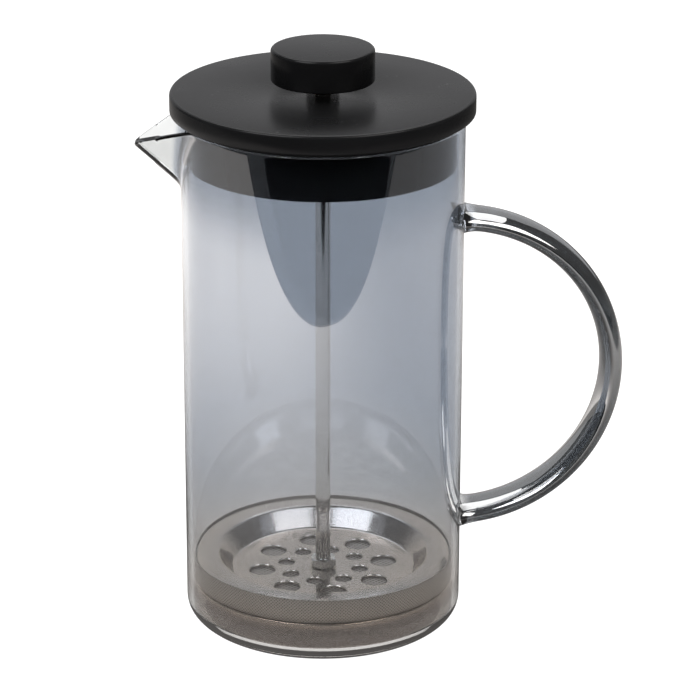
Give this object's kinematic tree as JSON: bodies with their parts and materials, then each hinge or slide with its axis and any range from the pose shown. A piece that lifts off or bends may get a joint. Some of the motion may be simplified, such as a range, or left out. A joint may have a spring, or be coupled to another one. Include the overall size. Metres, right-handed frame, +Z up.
{
  "type": "french press",
  "caption": "Round smoked-glass coffee press with a glass loop handle, a flat black lid and knob, and a steel plunger with a dished, perforated filter.",
  "frame": {"origin": "centre of the beaker's flat underside", "axes": "+Z up along the beaker's axis, +X towards the handle, -X towards the spout"},
  "size_m": [0.1611, 0.0986, 0.1962],
  "materials": {
    "smoked_glass": "smooth grey-blue smoked borosilicate with a faint mirror coating",
    "black_plastic": "satin black, very fine moulded grain",
    "bright_steel": "bright drawn stainless steel",
    "pressed_steel": "pressed stainless sheet, softly brushed",
    "steel_mesh": "fine woven stainless wire",
    "brass": "turned"
  },
  "bodies": {
    "beaker": {"beaker": "smoked_glass", "handle": "smoked_glass"},
    "lid": {"lid_cover": "black_plastic", "lid_insert": "black_plastic", "rod_bush": "bright_steel", "bush_retainer": "bright_steel"},
    "plunger": {"rod": "bright_steel", "knob": "black_plastic", "knob_insert": "brass"},
    "filter": {"upper_plate": "pressed_steel", "lower_plate": "pressed_steel", "mesh_screen": "steel_mesh", "spring_coil": "bright_steel", "threaded_boss": "bright_steel", "lock_nut": "bright_steel"}
  },
  "joints": [
    {"name": "lid_lift", "type": "slide", "parent": "beaker", "child": "lid", "axis": [0, 0, 1], "range_m": [0, 0.18]},
    {"name": "plunger_slide", "type": "slide", "parent": "lid", "child": "plunger", "axis": [0, 0, 1], "range_m": [0, 0.136]},
    {"name": "filter_turn", "type": "hinge", "parent": "plunger", "child": "filter", "pos_m": [0, 0, 0.0137], "axis": [0, 0, 1], "continuous": true}
  ]
}
